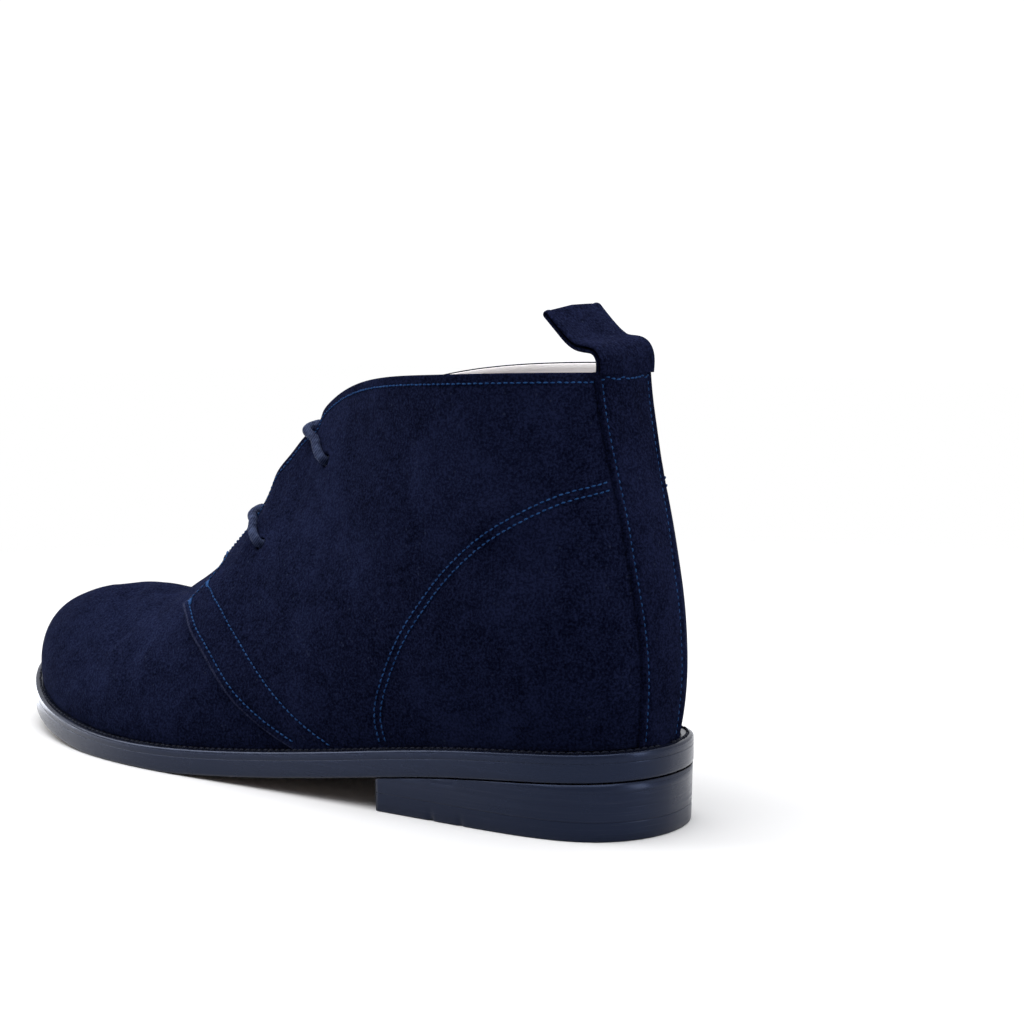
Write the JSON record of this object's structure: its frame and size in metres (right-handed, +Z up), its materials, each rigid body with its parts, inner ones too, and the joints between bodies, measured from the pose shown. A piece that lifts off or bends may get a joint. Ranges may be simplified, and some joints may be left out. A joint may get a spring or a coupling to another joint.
{
  "type": "chukka boot",
  "caption": "Left ankle-high chukka boot in navy suede, hollow upper laced over a tongue, back strap with pull loop, stitched welt, leather sole and stacked heel.",
  "frame": {"origin": "on the floor under the middle of the heel, on the heel's resting face", "axes": "+X forward to the toe, +Y to the wearer's left, which is the outer side of this left boot, +Z up from the floor"},
  "size_m": [0.3044, 0.0938, 0.1614],
  "materials": {
    "suede": "napped navy suede",
    "lining": "smooth pale leather",
    "insole_leather": "smooth tan leather",
    "welt_leather": "waxed black",
    "sole_leather": "black burnished edge, tan underneath",
    "heel_leather": "black burnished stacked leather",
    "top_lift_rubber": "matte black",
    "lace_cord": "round waxed navy cord",
    "thread": "waxed sewing thread"
  },
  "bodies": {
    "root": {"upper": "suede", "tongue": "suede", "insole": "insole_leather", "welt": "welt_leather", "outsole": "sole_leather", "heel_stack": "heel_leather", "top_lift": "top_lift_rubber", "back_strap": "suede", "pull_loop": "suede", "lace": "lace_cord"}
  },
  "joints": []
}
